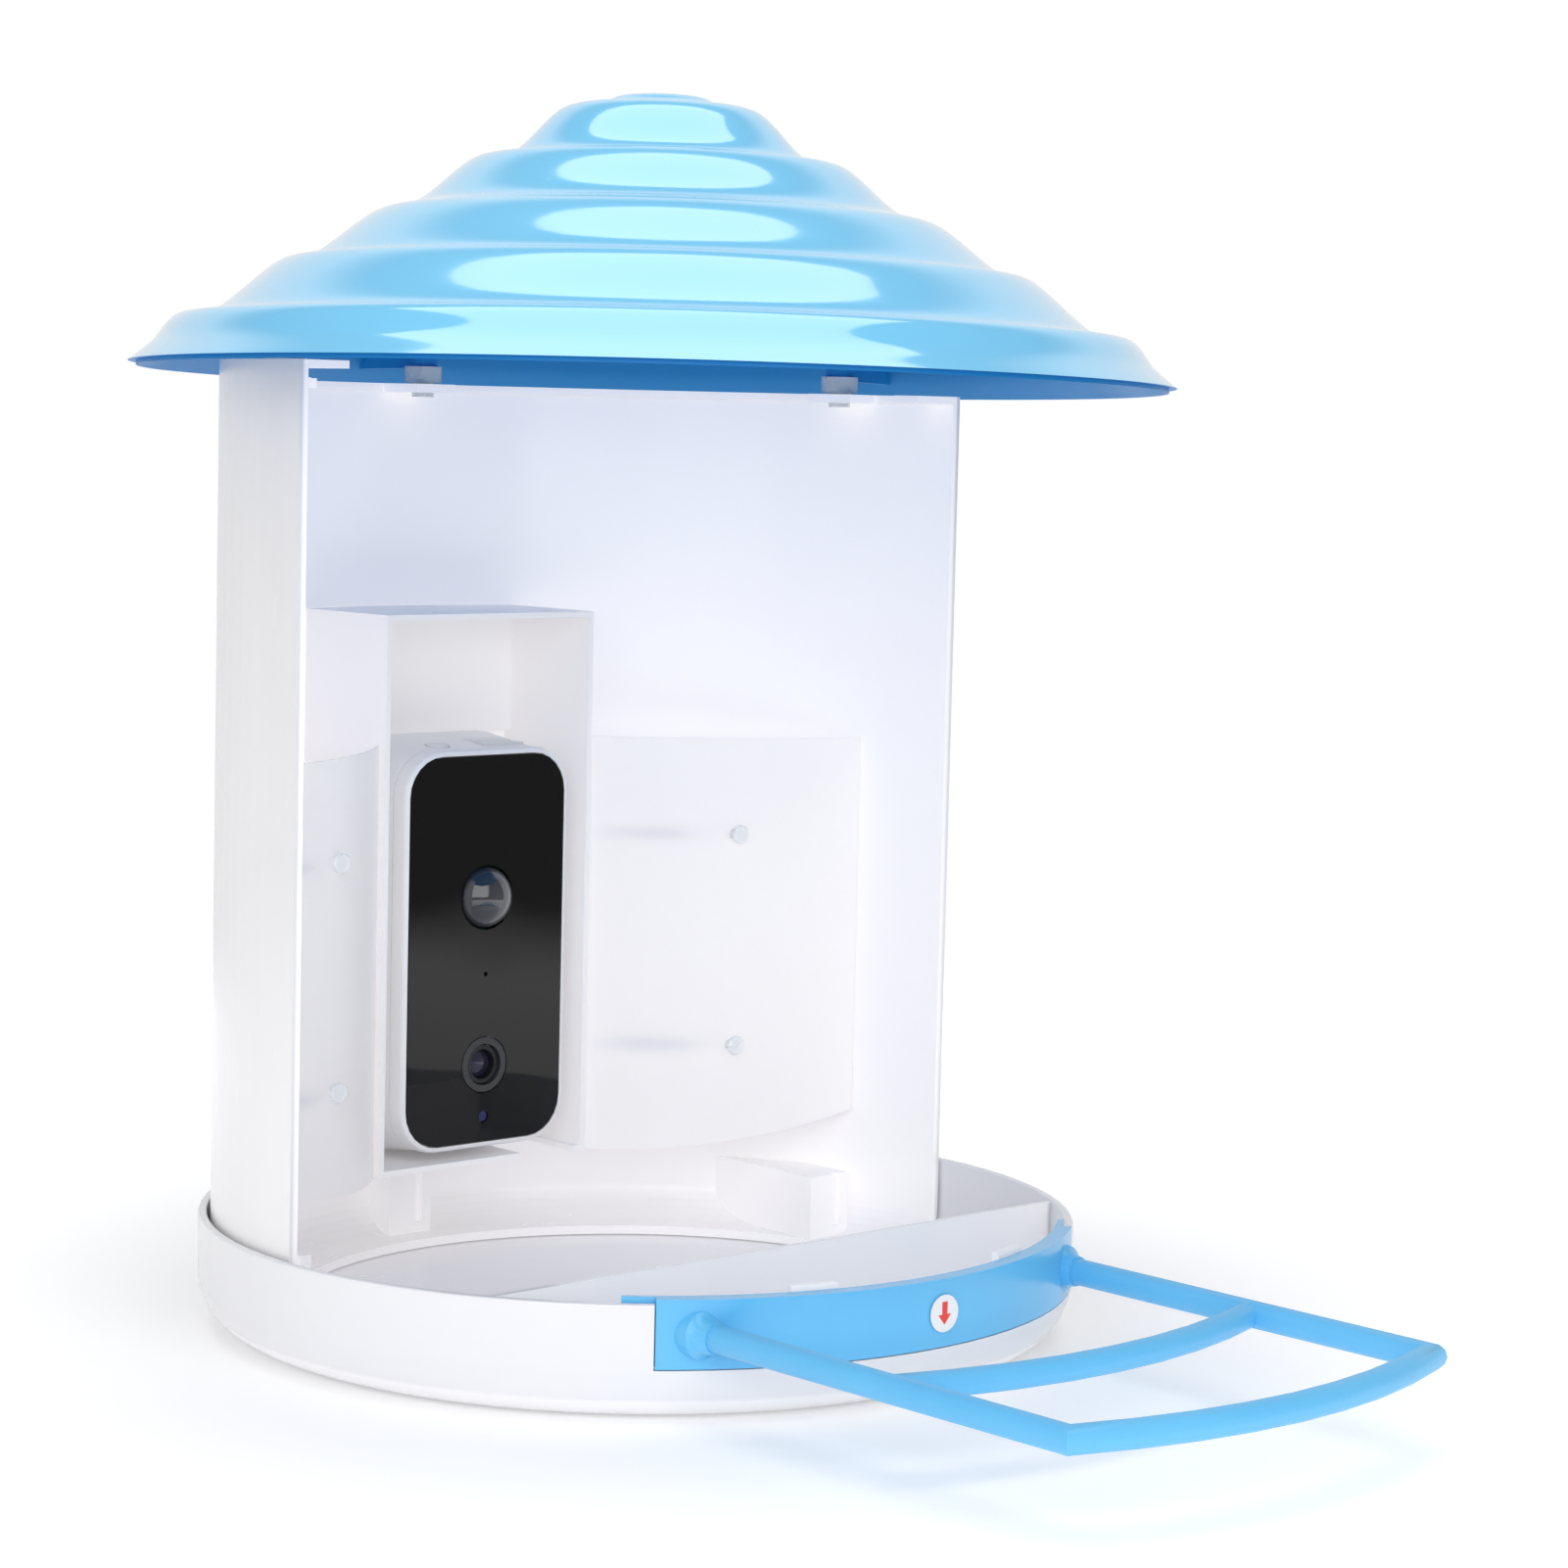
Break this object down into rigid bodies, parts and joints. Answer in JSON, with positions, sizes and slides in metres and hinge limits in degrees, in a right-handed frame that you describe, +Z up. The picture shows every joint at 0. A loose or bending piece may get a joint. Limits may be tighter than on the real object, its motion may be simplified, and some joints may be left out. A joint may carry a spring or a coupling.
{
  "type": "smart bird feeder",
  "caption": "Free-standing bird feeder with a round tray, half-round seed housing, ringed lift-off roof, camera in an open box and a drop-in perch.",
  "frame": {"origin": "centre of the tray's flat underside, on the axis of the round housing", "axes": "+Z up; the open front and the perch face -Y; +X to the right as seen from the front"},
  "size_m": [0.25, 0.3386, 0.2968],
  "materials": {
    "tray_plastic": "gloss white",
    "housing_plastic": "gloss white",
    "frosted_sheet": "frosted, translucent",
    "roof_plastic": "high gloss blue",
    "perch_plastic": "satin blue with a fine texture",
    "sticker": "white with a plain red arrow",
    "case_plastic": "satin white",
    "window_plastic": "gloss black",
    "dark_plastic": "gloss black",
    "lens_glass": "polished",
    "clear_plastic": "translucent",
    "steel": "plain",
    "circuit_board": "solder mask",
    "battery_wrap": "satin wrap",
    "rubber": "soft matt"
  },
  "bodies": {
    "base": {"tray": "tray_plastic", "housing": "housing_plastic", "camera_box": "housing_plastic", "seed_sheet_left": "frosted_sheet", "seed_sheet_right": "frosted_sheet", "sheet_pin_left_lower": "clear_plastic", "sheet_pin_left_upper": "clear_plastic", "sheet_pin_right_lower": "clear_plastic", "sheet_pin_right_upper": "clear_plastic", "roof_sleeve_back": "clear_plastic", "roof_sleeve_left": "clear_plastic", "roof_sleeve_right": "clear_plastic", "housing_screw_back": "steel", "housing_screw_left": "steel", "housing_screw_right": "steel"},
    "roof_body": {"roof": "roof_plastic"},
    "perch_body": {"perch": "perch_plastic", "arrow_sticker": "sticker"},
    "camera_body": {"camera_rear_case": "case_plastic", "camera_bezel": "case_plastic", "camera_window": "window_plastic", "pir_dome": "dark_plastic", "pir_sensor": "steel", "lens_ring": "dark_plastic", "lens_barrel": "dark_plastic", "lens_glass": "lens_glass", "image_sensor": "dark_plastic", "light_pipe": "clear_plastic", "main_board": "circuit_board", "sensor_board": "circuit_board", "battery_cell_left": "battery_wrap", "battery_cell_right": "battery_wrap", "speaker": "dark_plastic", "microphone": "steel", "wifi_antenna": "circuit_board", "case_screw_left_lower": "steel", "case_screw_left_upper": "steel", "case_screw_right_lower": "steel", "case_screw_right_upper": "steel", "charging_port": "steel", "power_switch": "dark_plastic"},
    "power_button_body": {"power_button": "rubber"},
    "port_cover_body": {"port_cover": "rubber"}
  },
  "joints": [
    {"name": "roof_lift", "type": "slide", "parent": "base", "child": "roof_body", "axis": [0, 0, 1], "range_m": [0, 0.06]},
    {"name": "perch_lift", "type": "slide", "parent": "base", "child": "perch_body", "axis": [0, 0, 1], "range_m": [0, 0.03]},
    {"name": "camera_slide", "type": "slide", "parent": "base", "child": "camera_body", "axis": [0, -1, 0], "range_m": [0, 0.06]},
    {"name": "power_button_press", "type": "slide", "parent": "camera_body", "child": "power_button_body", "axis": [0, 0, -1], "range_m": [0, 0.0004], "stiffness_N_per_m": 150},
    {"name": "port_cover_hinge", "type": "hinge", "parent": "camera_body", "child": "port_cover_body", "pos_m": [0.0098, 0.0764, 0.13501], "axis": [-1, 0, 0], "range_deg": [0, 90]}
  ]
}
